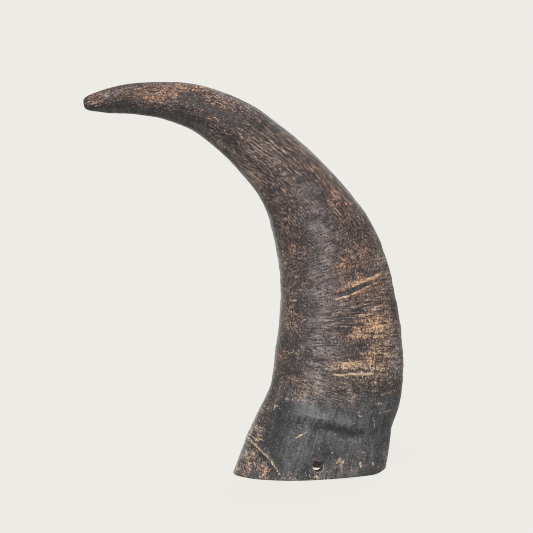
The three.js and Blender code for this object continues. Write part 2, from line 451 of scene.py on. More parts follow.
# Pale patches on the front. Most of them are painted highlight: the soft band down the middle of the
# front, the light band on the swell above the groove, thin highlights along the right edge and a glint on
# the tip's top edge. They are partly pale skin as well.
FRONT_PALE_AND_HIGHLIGHT = (
    # tip
    (-48, 252, 12, 1.5, 0.2), (-70, 250.5, 18, 1.2, 0.35, 6), (-87, 246.6, 5, 1.6, 1, 8),
    (-12, 246, 8, 2, 0.5, -27),
    # arm
    (2, 237, 6, 3, 0.35, -38), (40, 181, 7, 6, 0.5), (47, 170, 6, 4, 0.4), (50, 158, 7, 5, 0.6, -20),
    (86, 155, 3, 9, 0.3, 30),
    # middle
    (53, 147, 4, 4, 0.7), (47, 143, 3, 3, 0.5), (51, 134, 7, 9, 0.55), (93, 130, 2.5, 20, 0.3, 20),
    (52, 122, 5, 4, 0.55), (48, 118, 4, 3.5, 1), (57, 111.5, 11, 3, 0.5, 3), (49, 101, 6, 7, 0.55),
    (48.5, 85, 6.5, 9, 0.85), (100, 74, 2.5, 10, 0.6), (46, 73, 4, 5, 0.65), (47, 65, 7, 8, 0.6),
    # bell
    (46, 51, 10, 4, 0.9), (69, 51, 6, 3, 0.3), (62, 46, 7, 3, 0.35), (80, 46, 8, 4, 0.3),
    (52, 40, 14, 3, 0.35, -10), (38, 32, 5, 8, 0.35, -8), (64, 24, 6, 5, 0.25),
    (76, 22, 5, 10, 0.25, -5), (64, 8, 16, 5, 0.3), (92, 8, 3, 10, 0.7), (28, 2, 6, 3, 0.5),
)
# Dark patches on the front, mostly dark skin; a few are painted shade, as noted below.
FRONT_DARK_AND_SHADE = (
    # tip
    (-60, 246, 5, 3, 0.3), (-37, 243, 6, 5, 0.75), (-52, 242, 6, 4, 0.35), (-80, 239.5, 13, 4, 1.1, 6),
    (-32, 238, 11, 4, 0.4, -20), (-94, 236, 9, 3, 0.9, -8), (-16, 234, 20, 4.5, 0.95, -27),
    (-38, 231, 14, 3.5, 1, -16), (-24, 226, 12, 5, 1, -22), (-10, 216, 7, 4, 0.9, -30),
    # arm
    (8, 226, 13, 4, 0.6, -42), (18, 224, 6, 4, 0.25, -42), (28, 208, 9, 4, 0.15, -45),
    (0, 207, 9, 4, 0.45, -35), (30, 196, 9, 3, 0.2, -50), (36, 186, 6, 4, 0.4), (45, 186, 6, 4, 0.8),
    (21, 184, 6, 7, 1), (22, 184, 6, 3.5, 0.8), (50, 184, 6, 4, 0.4), (26, 178, 5, 5, 0.45),
    (60, 165, 5, 5, 0.5), (45, 162, 5, 3, 1), (67, 152, 5, 5, 0.4),
    # middle
    (57, 140, 4, 4, 0.5), (48, 128, 4, 8, 0.3), (60, 124, 5, 4, 0.6, 20),
    # The thin dark patch at 73.5, 120.6 is painted shade in the trough between the two ridges.
    (73.5, 120.6, 13, 1.5, 0.9, 18), (24, 120, 5, 10, 0.4), (40, 114, 7, 5, 0.8), (35, 108, 8, 20, 0.4),
    (45, 106, 8, 5, 0.8), (99, 104, 3, 9, 0.6), (68, 101, 8, 6, 0.55, 10), (37, 98, 6, 9, 0.35),
    (44, 96, 5, 6, 0.4), (69, 94, 4, 6, 0.4), (29, 92, 5, 6, 0.3), (32, 86, 9, 6, 1.1),
    (69, 83.5, 11, 4.2, 0.3), (38, 82, 8, 11, 0.8, 15), (35, 77, 7.5, 12, 0.7), (67, 77, 11, 1.4, 0.55),
    (30, 72, 9, 6, 0.9), (68, 68.6, 11, 1.3, 0.7), (30, 64, 5, 7, 0.15),
    # bell
    (75, 59, 4, 4, 0.4), (95, 58, 8, 8, 0.6), (18, 57, 4, 8, 1, -14), (24, 52, 6, 6, 0.3),
    (86, 50, 12, 9, 0.3), (34, 45, 9, 4, 1.3, -6), (23, 42, 2.2, 9, 1, -14), (12.5, 36, 2, 4, 0.8, -14),
    # The long dark patch at 62, 30.5 is painted shadow in the groove under the swell.
    (25, 33, 5, 9, 0.8, -14), (20, 31, 4, 13, 0.85, -14), (62, 30.5, 15, 3, 1, -14),
    (88, 30, 8, 10, 0.35), (19, 28, 2.2, 8, 1, -14), (36, 27, 6, 4, 0.75), (17, 22, 5, 4, 0.8),
    (52, 22, 6, 4, 0.5), (6, 20, 2.5, 3, 0.8), (54, 17, 6, 4, 0.6, -20), (20, 16, 4, 5, 0.6),
    (92, 16, 6, 14, 0.4), (12, 14, 3, 2, 0.8, 30), (22, 10, 4, 6, 0.95), (0, 9, 3, 2.5, 0.9, 20),
    (41, 7, 4, 5, 0.7), (84, 3, 6, 3, 0.5),
)
FRONT_RIPPLED = (
    (72, 106, 26, 7, 1.2, 8), (60, 101, 12, 8, 1), (92, 84, 10, 24, 0.7), (68, 77, 14, 5, 0.8),
    (88, 122, 12, 14, 0.6, 15), (49, 84, 8, 12, 0.9), (50, 128, 9, 16, 0.6), (45, 60, 14, 12, 0.8),
    (42, 184, 10, 9, 0.8), (66, 52, 24, 10, 1), (50, 162, 12, 12, 0.6), (9, 28, 9, 24, 0.8, -14),
)
FRONT_LINED = (
    (38, 178, 12, 8, 0.5, -50), (82, 100, 6, 9, 0.5), (82, 74, 4, 12, 0.3), (24, 211, 12, 4, 1.6, -43),
    (22, 186, 6, 4, 1.5, -55),
)
BACK_WORN = (
    (-50, 245, 26, 6, 0.4, 3), (6, 214, 22, 8, 0.3, -42), (50, 190, 18, 10, 0.3, -50),
    (78, 150, 12, 9, 0.5, 20), (84, 112, 12, 12, 0.55, -10), (56, 84, 16, 7, 0.7, -12),
    (34, 118, 8, 14, 0.5), (88, 66, 7, 8, 0.5), (30, 62, 8, 6, 0.45), (8, 30, 6, 14, 0.6, -14),
    (80, 4, 12, 5, 0.5), (20, 6, 9, 6, 0.6),
)
BACK_ORANGE = (
    (84, 112, 12, 8, 0.7, -10), (56, 84, 14, 5, 0.6, -12), (70, 145, 12, 4, 0.6, 22),
    (36, 66, 8, 4, 0.4),
)
BACK_PALE = (
    (44, 170, 8, 7, 0.6), (54, 140, 7, 8, 0.6), (58, 118, 6, 6, 0.6), (62, 96, 8, 4, 0.5),
    (50, 60, 8, 6, 0.5),
)
BACK_DARK = (
    (30, 96, 7, 9, 0.7), (72, 94, 10, 5, 0.7), (60, 162, 6, 8, 0.4), (-40, 231, 22, 4, 0.8),
    (64, 56, 14, 5, 0.5), (30, 24, 8, 10, 0.4),
)
BACK_RIPPLED = ((72, 108, 22, 12, 0.9, 6), (60, 78, 16, 8, 0.7), (86, 84, 10, 20, 0.6))
BACK_LINED = ((60, 86, 7, 9, 0.8),)

# Scratches and worn crests of ridges: half width, then points as x, z.
FRONT_SCRATCHES = (
    (0.1, (61, 119), (66, 120.5), (70, 122)),
    (0.5, (70, 122), (77, 125), (82.5, 127.4), (88.5, 129.6)),
    (0.55, (58.9, 113.8), (63, 114.8), (66.4, 115.7)),
    (0.4, (66.4, 115.7), (71.6, 117.6), (80.6, 122.1), (87, 124.6)),
    (0.5, (57, 66.6), (62, 65.9), (69, 66.9), (76, 66.4), (82, 66.8)),
    (0.45, (4, 24.2), (11, 18.5), (17.6, 13.2), (21, 8), (24, 3.6)),
    (0.3, (29.2, 23.3), (34.5, 27.2), (41, 30.4)),
    (0.12, (16, 48), (23, 45.6), (29.6, 38)),
    (0.15, (26, 62), (22.5, 50.5), (20.5, 43)),
    (0.3, (74, 42.6), (73, 41), (74.4, 39.6), (76.2, 39.4)),
    (0.25, (88, 52.6), (92, 53.4), (97.5, 54.8)),
    (0.2, (85, 46.6), (88, 47.4), (90, 46), (93, 48.2)),
    (0.2, (84.2, 48.2), (85.2, 46.6), (86.8, 48.4)),
    (0.2, (87, 41), (91, 41.6), (95, 42.2)),
    (0.25, (83, 38), (84.6, 34.6), (84, 31)),
    (0.6, (61.6, 13.6), (60.6, 11.6), (59.8, 10.6)),
    (0.6, (64, 12.4), (62.8, 9.8), (62.6, 7.6)),
    (0.6, (75, 9.6), (75.4, 7)),
    (0.5, (83.2, 9), (83.8, 7.8)),
    (0.35, (71.4, 3.4), (72.2, 3)),
    (0.2, (56, 20), (57, 16.6)),
    (0.2, (52, 33), (51, 30)),
    (0.2, (57, 31.4), (58.6, 28.6)),
    (0.25, (76, 16), (78, 16.4)),
    (0.1, (-18.6, 230.6), (-15.6, 228.6), (-14.6, 226.2)),
    (0.3, (30.5, 113.2), (34.6, 112.8)),
)
BACK_SCRATCHES = (
    (0.4, *BACK_RIDGES[0][0]),
    (0.35, *BACK_RIDGES[2][0]),
    (0.3, *BACK_RIDGES[1][0]),
    (0.3, (60, 26), (52, 20), (47, 12)),
    (0.25, (84, 18), (80, 12)),
    (0.2, (30, 16), (36, 22), (38, 31)),
    (0.25, (20, 212), (28, 205), (34, 197)),
)


def patches(x, z, spots):
    """The strongest of a set of soft elliptical patches at each place."""
    strongest = np.zeros(x.shape)
    for at_x, at_z, half_length, half_height, strength, *turned in spots:
        turn = math.radians(turned[0]) if turned else 0.0
        along = ((x - at_x) * math.cos(turn) + (z - at_z) * math.sin(turn)) / half_length
        across = ((z - at_z) * math.cos(turn) - (x - at_x) * math.sin(turn)) / half_height
        strongest = np.maximum(strongest, strength * np.exp(-0.8 * (along**2 + across**2)))
    return strongest


def scratch_distance(x, z, scratches):
    """Distance past the edge of the nearest scratch, as far as it can show."""
    nearest = np.full(x.shape, NO_SCRATCH)
    for half_width, *path in scratches:
        nearest = np.minimum(nearest, distance_to_path(x, z, path) - half_width)
    return nearest


def bell_slate(place, along, outward):
    """The smooth grey skin of the bell. It ends in a ragged line that is higher on the outer side."""
    ragged = 5 * cloud(place, 14.0, 17.0)
    lift = 13 * np.maximum(outward, 0) - 8 * np.maximum(-0.2 - outward, 0)
    slate = 1 - smooth_step(GROOVE_AT + 1, GROOVE_AT + 13, along + ragged - lift)
    inner_strip = smooth_step(0.76, 0.86, -outward)
    return slate * (1 - 0.7 * inner_strip)


def outer_marks(points, along, flat, deep):
    """The values that the horn's material reads, for the outer grid."""
    x, z = points[..., 0], points[..., 2]
    front = facing_front(deep, along)
    place = np.stack([along, flat, deep], -1)
    bent_x = x + 1.6 * cloud(place, 6.0, 61.0)
    bent_z = z + 1.3 * cloud(place, 6.0, 67.0)

    def both(front_spots, back_spots):
        on_front = front * patches(bent_x, bent_z, front_spots)
        return on_front + (1 - front) * patches(bent_x, bent_z, back_spots)

    # Where along the horn and where round it: outward is 1 on the outer edge, -1 on the inner one
    outward = np.cos(ANGLES)[None, :] + 0 * along
    arm = smooth_step(155, 200, along)
    tip = smooth_step(235, 285, along)
    underside = smooth_step(0.45, 0.9, -outward) * tip
    # Along the arm's inner edge the pale is a painted reflection of the pale floor.
    inner_edge_floor_reflection = smooth_step(0.93, 1.0, -outward) * arm
    polished = smooth_step(0.8, 0.97, outward) * smooth_step(120, 170, along) * (1 - tip)
    # rubbed: a band along the arm's outer edge; the pale it gets below is painted sheen along that edge.
    rubbed = smooth_step(0.6, 0.95, outward) * arm * (1 - 0.7 * tip)
    rubbed = rubbed * np.clip(0.8 + 0.6 * cloud(place, 9.0, 71.0), 0, 1)

    slate = np.maximum(bell_slate(place, along, outward), 0.55 * underside)
    spots = both(FRONT_WORN, BACK_WORN)
    worn = 0.18 - 0.1 * smooth_step(110, 150, along) - 0.06 * arm + 0.04 * tip
    worn = worn + 0.8 * spots - 0.2 * polished - 0.2 * slate * (1 - spots)
    # Pale painted on the edges: sheen along the outer edge and the floor's reflection along the inner
    # edge; the tip's underside gets some pale too.
    edge_light_and_underside_pale = np.maximum(0.2 * rubbed, 0.25 * underside + 0.6 * inner_edge_floor_reflection)
    on_front = scratch_distance(x, z, FRONT_SCRATCHES)
    on_back = scratch_distance(x, z, BACK_SCRATCHES)
    return {
        "worn": worn,
        "orange": both(FRONT_ORANGE, BACK_ORANGE),
        "pale": np.maximum(both(FRONT_PALE_AND_HIGHLIGHT, BACK_PALE), edge_light_and_underside_pale),
        # On the tip's underside the dark is partly painted shade, partly the skin's own charcoal.
        "dark": np.maximum(both(FRONT_DARK_AND_SHADE, BACK_DARK), 0.7 * underside),
        "slate": slate,
        "rippled": np.maximum(both(FRONT_RIPPLED, BACK_RIPPLED), 0.15 * (1 - arm)),
        "lined": np.maximum(both(FRONT_LINED, BACK_LINED), arm * (0.9 - 0.35 * tip)),
        "scratch": np.where(front > 0.5, on_front, on_back),
        "inside": np.zeros(x.shape),
    }


# Marks inside the horn, where the others are 0, and on the cut rim and in the cord hole, where the
# others stay as they are.
INNER_MARKS = {"worn": 0.3, "lined": 1.0, "scratch": NO_SCRATCH, "inside": 1.0}
CUT_MARKS = {"worn": 0.55, "lined": 0.2, "scratch": NO_SCRATCH, "inside": 0.55}
# The cord hole's wall is painted dark: painted shade inside the hole.
HOLE_SHADE_MARKS = {"worn": -0.6, "dark": 1.0, "slate": 0.0, "inside": 0.0}


def inner_marks(along):
    """Plain brown horn with a little lengthwise grain."""
    return {name: np.full(along.shape, INNER_MARKS.get(name, 0.0)) for name in MARK_NAMES}


def set_marks(packed_points, marks):
    for name, value in marks.items():
        packed_points[..., MARK_AT[name]] = value


# ---- The mesh: outer sheet, mouth, bore, cavity and cut rim as one closed grid, with the cord hole ----


def packed(points, along, flat, deep, marks):
    """One array that holds, for each grid point, its position and everything the material reads."""
    turn = fibre_turn(along)
    spread = (FIBRE_RADIUS * section(share_of(along))["half_width"]) ** 0.5
    columns = [points, along, flat, deep, spread * np.cos(turn), spread * np.sin(turn)]
    columns += [marks[name] for name in MARK_NAMES]
    return np.concatenate([c if c.ndim == 3 else c[..., None] for c in columns], -1)


RIM_CORNER = 0.9  # radius of the rim's outer corner
RIM_END_CORNER = 3.0  # and at the outer end of the bell
INNER_CORNER = 0.5


def outer_grid():
    points, along, flat, deep = outer_sheet()
    normal = normals_of(points)
    marks = outer_marks(points, along, flat, deep)
    height = relief(points, along, flat, deep)
    height *= 0.25 + 0.75 * smooth_step(0, 6, along - along[0])
    points = points + normal * height[..., None]
    outer_end = np.clip(np.cos(ANGLES), 0, 1)[None, :] ** 4
    corner = RIM_CORNER + (RIM_END_CORNER - RIM_CORNER) * outer_end
    corner = corner * (1 + 0.25 * cloud(points, 9.0, 41.0))
    points = rounded_corner(points, along, normal, corner, along[0])
    points[0, :, 2] = rim_height()
    return packed(points, along, flat, deep, marks)


def air_grid():
    points, along, flat, deep = air_sheet()
    normal = normals_of(points[::-1])[::-1]
    place = np.stack([along, flat, deep], -1)
    height = layered(place, CAVITY_LAYERS) + layered(place * (1, 0.3, 0.3), CAVITY_STREAK_LAYERS)
    height *= 1 - smooth_step(150, 230, along)
    height[-1] = 0
    points = points + normal * height[..., None]
    points = rounded_corner(points, along, -normal, INNER_CORNER, along[-1])
    points[-1, :, 2] = rim_height()
    return packed(points, along, flat, deep, inner_marks(along))


def cut_face(inner_rim, outer_rim):
    """Rows across the flat cut at the bell."""
    steps = (np.arange(1, CUT_ROWS + 1) / (CUT_ROWS + 1))[:, None, None]
    rows = inner_rim * (1 - steps) + outer_rim * steps
    set_marks(rows, CUT_MARKS)
    return rows


def sample(grid, row, column):
    """Read a grid between its points."""
    row0, column0 = np.floor(row).astype(int), np.floor(column).astype(int)
    a, b = (row - row0)[..., None], (column - column0)[..., None]
    row1 = np.minimum(row0 + 1, len(grid) - 1)
    left, right = column0 % COLUMNS, (column0 + 1) % COLUMNS
    return ((1 - a) * ((1 - b) * grid[row0, left] + b * grid[row0, right])
            + a * ((1 - b) * grid[row1, left] + b * grid[row1, right]))


HOLE_AXIS = np.array([-math.sin(CORD_HOLE["turn"]), math.cos(CORD_HOLE["turn"]), 0.0])
HOLE_AT = np.array([CORD_HOLE["x"], -section(np.array([0.0]))["half_depth"][0], CORD_HOLE["z"]])
HOLE_DRIFT = np.array([-0.5, 0.0, 0.9])  # the drill wandered: the inner end lies this far from the axis
HOLE_SEARCH_ROWS = 60
LIP_RINGS = (0.22, 0.42, 0.6, 0.74, 0.85, 0.93, 1.0)  # from the block's edge (0) to the hole's (1)
LIP_WIDTH = 1.3
LIP_DROP = 0.75
TUBE_RINGS = 5


def hole_distance(points, at=HOLE_AT):
    """Distance from the cord hole's axis."""
    away = points[..., :3] - at
    return np.linalg.norm(away - (away @ HOLE_AXIS)[..., None] * HOLE_AXIS, axis=-1)


def hole_block(grid):
    """The square of grid cells to open for the cord hole: its middle row and column."""
    near_rim = grid[:HOLE_SEARCH_ROWS]
    distance = hole_distance(near_rim)
    distance[near_rim[..., 1] > 0] = FAR
    return np.unravel_index(np.argmin(distance), distance.shape)


def block_loop(row, column):
    """Grid places round the block, anticlockwise in rows and columns."""
    steps = np.arange(-HOLE_REACH, HOLE_REACH)
    end = np.full(len(steps), HOLE_REACH)
    down = np.concatenate([-end, steps, end, -steps])
    across = np.concatenate([steps, end, -steps, -end])
    return np.stack([row + down, column + across], -1)


def lip_rings(grid, row, column, inward, at=HOLE_AT):
    """Rings of points from the block's edge to the hole's round edge, dipping at a worn lip."""
    loop = block_loop(row, column)
    middle = np.array([row, column], float)
    reach = np.linspace(0, 1, 161)[:, None, None]
    rays = middle + (loop - middle) * reach
    distances = hole_distance(sample(grid, rays[..., 0], rays[..., 1]), at)
    start = np.empty(len(loop))
    for i, closest in enumerate(distances.argmin(axis=0)):
        start[i] = np.interp(CORD_HOLE["radius"], distances[closest:, i], reach[closest:, 0, 0])
    rings = []
    for share in LIP_RINGS:
        place = middle + (loop - middle) * (1 + (start - 1) * share)[:, None]
        ring = sample(grid, place[:, 0], place[:, 1])
        ragged = 1 + 0.35 * np.array([noise.noise(Vector(p)) for p in ring[:, :3] / 1.7])
        edge = np.clip(1 - (hole_distance(ring, at) - CORD_HOLE["radius"]) / (LIP_WIDTH * ragged), 0, 1)
        ring[:, :3] += inward * (LIP_DROP * edge**2)[:, None]
        worn = MARK_AT["worn"]
        ring[:, worn] = np.maximum(ring[:, worn], 0.95 * edge)
        rings.append(ring)
    return rings


class Shell:
    """Collects grid and ring vertices and the faces between them."""

    def __init__(self, grid):
        self.rows = len(grid)
        self.data = [grid.reshape(-1, grid.shape[-1])]
        self.count = self.rows * COLUMNS
        self.faces = []

    def grid_faces(self, blocks):
        row, column = np.meshgrid(np.arange(self.rows), np.arange(COLUMNS), indexing="ij")
        keep = np.ones(row.shape, bool)
        for block_row, block_column in blocks:
            near = (np.arange(-HOLE_REACH, HOLE_REACH) + block_column) % COLUMNS
            keep[block_row - HOLE_REACH:block_row + HOLE_REACH, near] = False
        row, column = row[keep], column[keep]
        next_row, next_column = (row + 1) % self.rows, (column + 1) % COLUMNS
        corners = ((row, column), (row, next_column), (next_row, next_column), (next_row, column))
        self.faces.append(np.stack([r * COLUMNS + c for r, c in corners], -1))

    def ring(self, points):
        self.data.append(points)
        self.count += len(points)
        return np.arange(self.count - len(points), self.count)

    def band(self, one, other):
        following, other_following = np.roll(one, -1), np.roll(other, -1)
        self.faces.append(np.stack([one, following, other_following, other], -1))

    def outward(self):
        """All points that a face uses, and the faces, which look outwards."""
        data, faces = np.concatenate(self.data), np.concatenate(self.faces)
        used = np.unique(faces)
        renumber = np.full(len(data), -1)
        renumber[used] = np.arange(len(used))
        data, faces = data[used], renumber[faces]
        corners = data[faces][..., :3]
        volume = np.einsum("ij,ij->i", corners[:, 0], np.cross(corners[:, 1], corners[:, 2]))
        volume += np.einsum("ij,ij->i", corners[:, 0], np.cross(corners[:, 2], corners[:, 3]))
        return data, faces if volume.sum() > 0 else faces[:, ::-1]


def open_cord_hole(shell, grid, outer_rows, whole_rows):
    """Open the wall: a lip outside, a lip inside and a short tube between them."""
    row, column = hole_block(grid[:outer_rows])
    inner = grid[outer_rows:whole_rows][::-1]
    inner_row, inner_column = hole_block(inner)
    shell.grid_faces(((row, column), (whole_rows - 1 - inner_row, inner_column)))

    outside = lip_rings(grid[:outer_rows], row, column, HOLE_AXIS)
    inside = lip_rings(inner, inner_row, inner_column, -0.5 * HOLE_AXIS, HOLE_AT + HOLE_DRIFT)
    loop_rows, loop_columns = block_loop(row, column).T
    chain = [loop_rows * COLUMNS + loop_columns % COLUMNS]
    chain += [shell.ring(ring) for ring in outside]
    for step in range(1, TUBE_RINGS + 1):
        share = step / (TUBE_RINGS + 1)
        ring = outside[-1] * (1 - share) + inside[-1] * share
        # the tube between the lips is painted dark, as shade inside the hole
        set_marks(ring, HOLE_SHADE_MARKS)
        chain.append(shell.ring(ring))
    chain += [shell.ring(ring) for ring in reversed(inside)]
    loop_rows, loop_columns = block_loop(inner_row, inner_column).T
    chain.append((whole_rows - 1 - loop_rows) * COLUMNS + loop_columns % COLUMNS)
    for one, other in zip(chain, chain[1:]):
        shell.band(one, other)


def placed(name, data, at=(0, 0, 0)):
    """A new object in the scene."""
    thing = bpy.data.objects.new(name, data)
    thing.location = at
    bpy.context.scene.collection.objects.link(thing)
    return thing


def natural_horn():
    outer = outer_grid()
    air = air_grid()
    grid = np.concatenate([outer, air, cut_face(air[-1], outer[0])])
    shell = Shell(grid)
    open_cord_hole(shell, grid, len(outer), len(outer) + len(air))
    data, faces = shell.outward()

    mesh = bpy.data.meshes.new("natural_horn")
    mesh.from_pydata((data[:, :3] * MM).tolist(), [], faces.tolist())
    for name, columns in (("horn place", (3, 4, 5)), ("fibre place", (3, 6, 7))):
        layer = mesh.attributes.new(name, "FLOAT_VECTOR", "POINT")
        layer.data.foreach_set("vector", data[:, columns].astype(np.float32).ravel())
    for name in MARK_NAMES:
        layer = mesh.attributes.new(name, "FLOAT", "POINT")
        layer.data.foreach_set("value", data[:, MARK_AT[name]].astype(np.float32))
    mesh.shade_smooth()
    mesh.validate()
    mesh.materials.append(horn_material())
    return placed("natural_horn", mesh)


# ---- Materials ----


def linear(red, green, blue):
    """A colour given as it looks on a screen, 0 to 255, as linear light."""
    shown = np.array((red, green, blue)) / 255
    light = np.where(shown <= 0.04045, shown / 12.92, ((shown + 0.055) / 1.055) ** 2.4)
    return (*light.tolist(), 1.0)


class Graph:
    """Short calls for building the nodes of a material or a world."""

    def __init__(self, owner):
        self.owner = owner
        owner.use_nodes = True
        self.nodes, self.links = owner.node_tree.nodes, owner.node_tree.links
        self.nodes.clear()

    def node(self, kind, inputs=(), **settings):
        """A new shader node. Its inputs, by name or number, take values or other nodes' outputs."""
        node = self.nodes.new("ShaderNode" + kind)
        for name, value in settings.items():
            setattr(node, name, value)
        for socket, value in dict(inputs).items():
            if isinstance(value, bpy.types.NodeSocket):
                self.links.new(value, node.inputs[socket])
            else:
                node.inputs[socket].default_value = value
        return node

    def shown(self, shader, output="OutputMaterial"):
        """The finished material or world, with a shader on its surface."""
        self.node(output, {"Surface": shader.outputs[0]})
        return self.owner

    def attribute(self, name, output="Fac"):
        return self.node("Attribute", attribute_name=name).outputs[output]

    def math(self, operation, a, b=0.0, c=0.0, clamp=False):
        return self.node("Math", {0: a, 1: b, 2: c}, operation=operation, use_clamp=clamp).outputs[0]

    def add(self, total, *others):
        for other in others:
            total = self.math("ADD", total, other)
        return total

    def times(self, product, *others):
        for other in others:
            product = self.math("MULTIPLY", product, other)
        return product

    def scaled(self, value, by, plus=0.0):
        return self.math("MULTIPLY_ADD", value, by, plus)

    def vector_math(self, operation, a, b):
        return self.node("VectorMath", {0: a, 1: b}, operation=operation).outputs[0]

    def stretched(self, vector, scale):
        return self.vector_math("MULTIPLY", vector, scale)

    def noise(self, vector, scale, detail=2.0, roughness=0.55, warp=0.0):
        names = ("Vector", "Scale", "Detail", "Roughness", "Distortion")
        values = (vector, scale, detail, roughness, warp)
        return self.node("TexNoise", zip(names, values)).outputs["Fac"]

    def step(self, value, low, high):
        """0 below the low value, 1 above the high one, smooth between."""
        inputs = {"Value": value, "From Min": low, "From Max": high}
        return self.node("MapRange", inputs, interpolation_type="SMOOTHSTEP").outputs["Result"]

    def lines(self, vector, scale, width):
        """Thin wandering lines: 1 on a line, 0 away from it."""
        wave = self.noise(vector, scale, 1.0)
        away = self.math("ABSOLUTE", self.scaled(wave, 1.0, -0.5))
        return self.step(away, width, 0.0)

    def blend(self, a, b, amount):
        """Blend two numbers."""
        return self.node("Mix", {0: amount, 2: a, 3: b}, data_type="FLOAT").outputs[0]

    def tint(self, a, b, amount, mode="MIX"):
        """Blend two colours."""
        return self.node("Mix", {0: amount, 6: a, 7: b}, data_type="RGBA", blend_type=mode).outputs[2]

    def bump(self, height, distance, strength, **under):
        inputs = {"Height": height, "Distance": distance, "Strength": strength, **under}
        return self.node("Bump", inputs).outputs["Normal"]


CHARCOAL = linear(49, 51, 52)
DARK_BROWN = linear(42, 36, 36)
BROWN = linear(93, 81, 78)
RUST_BROWN = linear(122, 90, 72)
TAN = linear(145, 129, 115)
RUST = linear(148, 104, 82)
BRIGHT_TAN = linear(222, 198, 170)
ORANGE_TAN = linear(180, 140, 108)
BRIGHT_ORANGE = linear(214, 176, 136)
ARM_SHADE = linear(222, 215, 219)
# MAUVE is partly pale skin and partly painted highlight, where the light's reflection lies on the front.
MAUVE = linear(148, 139, 140)
SLATE_DARK = linear(46, 46, 47)
SLATE_LIGHT = linear(93, 93, 95)
PALE_FLECK = linear(176, 166, 156)
INSIDE_BROWN = linear(106, 84, 76)
INSIDE_TAN = linear(140, 114, 98)


# In these functions "at" holds the marks and patterns at each place of the surface.


def draw_patterns(g, at):
    """The noises, lines and waves that the horn's colour and fine relief are drawn with."""
    place = g.attribute("horn place", "Vector")
    fibre_place = g.attribute("fibre place", "Vector")
    across = g.node("SeparateXYZ", {0: fibre_place}).outputs["Y"]

    def drawn_out(share):
        """Places with their length along the fibre shortened, which draws a pattern out along it."""
        return g.stretched(fibre_place, (share, 1.0, 1.0))

    at.drift = g.noise(place, 0.045, 3.0)
    at.mottle = g.noise(place, 0.17, 4.0, 0.62)
    at.flake = g.noise(place, 0.5, 3.0, 0.65, 0.7)
    at.grit = g.noise(place, 0.9, 2.0, 0.7)
    at.fine_grit = g.noise(place, 1.9, 1.0, 0.7)
    at.fleck = g.step(g.blend(at.grit, at.fine_grit, 0.35), 0.61, 0.69)
    at.fibre = g.noise(drawn_out(0.14), 2.0, 1.0, 0.6)
    at.fibre_line = g.lines(drawn_out(0.09), 0.9, 0.04)
    at.streak = g.noise(drawn_out(0.05), 0.2, 4.0, 0.65)
    at.fine_streak = g.noise(drawn_out(0.06), 0.9, 2.0, 0.7)
    wander = g.noise(drawn_out(0.15), 0.3, 2.0)
    at.comb = g.math("SINE", g.add(g.scaled(across, 3.2), g.scaled(wander, 3.0)))
    wavy = g.vector_math("ADD", g.stretched(place, (1.0, 0.14, 0.14)), g.scaled(at.mottle, 2.4))
    at.ripple = g.noise(wavy, 0.95, 2.0, 0.6)
    at.ripple_line = g.lines(g.stretched(wavy, (1.0, 0.7, 0.7)), 0.5, 0.06)


def worn_speck(g, at):
    """How worn spots are drawn: as specks, as long lines or as lines across."""
    speck = g.blend(at.grit, at.flake, 0.45)
    speck = g.blend(speck, g.blend(at.grit, at.fibre, 0.7), at.lined)
    return g.blend(speck, g.blend(at.grit, at.ripple, 0.7), at.rippled)


def worn_level(g, at):
    """How worn each place is: dark skin round 0, tan from about 0.5, bright tan from about 1."""
    contrast = g.times(g.scaled(at.worn, 3.2, 5.6), g.scaled(at.lined, 0.85, 1.0))
    combing = g.add(g.math("SUBTRACT", at.lined, 1.0, clamp=True), g.scaled(at.lined, 0.33))
    return g.add(
        g.scaled(at.worn, 1.0, 0.13),
        g.scaled(at.dark, -0.45),
        g.add(g.scaled(at.mottle, 1.4, -0.7), g.scaled(at.drift, 1.0, -0.5)),
        g.times(g.scaled(at.speck, 1.0, -0.5), contrast),
        g.times(g.scaled(at.ripple_line, -0.55), at.rippled),
        g.times(g.scaled(at.fibre_line, -0.45), at.lined),
        g.times(at.comb, combing, g.step(at.mottle, 0.38, 0.6)),
        g.scaled(at.lined, -0.2),
    )


def skin_colour(g, at):
    """Horn skin: charcoal through brown to tan where it is rubbed."""
    skin = g.tint(DARK_BROWN, BROWN, g.step(at.level, -0.3, 0.6))
    skin = g.tint(skin, RUST_BROWN, g.times(at.orange, g.step(at.level, -0.2, 0.7)))
    # Dark marks turn the skin charcoal. Some of them are painted shade: in the groove, the trough between
    # the ridges, on the tip's underside and in the cord hole.
    skin = g.tint(skin, CHARCOAL, g.times(at.dark, g.scaled(at.lined, -0.3, 0.6)))
    skin = g.tint(skin, g.tint(TAN, ORANGE_TAN, at.orange), g.step(at.level, 0.45, 1.1))
    skin = g.tint(skin, at.bright, g.times(g.step(at.level, 0.95, 1.7), 0.85))
    skin = g.tint(skin, PALE_FLECK, g.times(at.fleck, at.dark, 0.5))
    return g.tint(skin, ARM_SHADE, g.math("MINIMUM", at.lined, 1.0), "MULTIPLY")


def slate_colour(g, at):
    """The smooth grey skin near the bell, with lengthwise streaks and pale flecks."""
    light = g.add(
        g.scaled(g.blend(at.streak, at.mottle, 0.7), 1.8, -0.9),
        g.scaled(at.fine_streak, 1.5, -0.75),
        g.scaled(at.grit, 1.8, -0.9),
        # Dark marks darken the slate too; in the groove this is painted shadow.
        g.scaled(at.dark, -0.8),
    )
    slate = g.tint(SLATE_DARK, SLATE_LIGHT, g.step(light, -0.6, 0.6))
    return g.tint(slate, PALE_FLECK, g.times(at.fleck, 0.55))


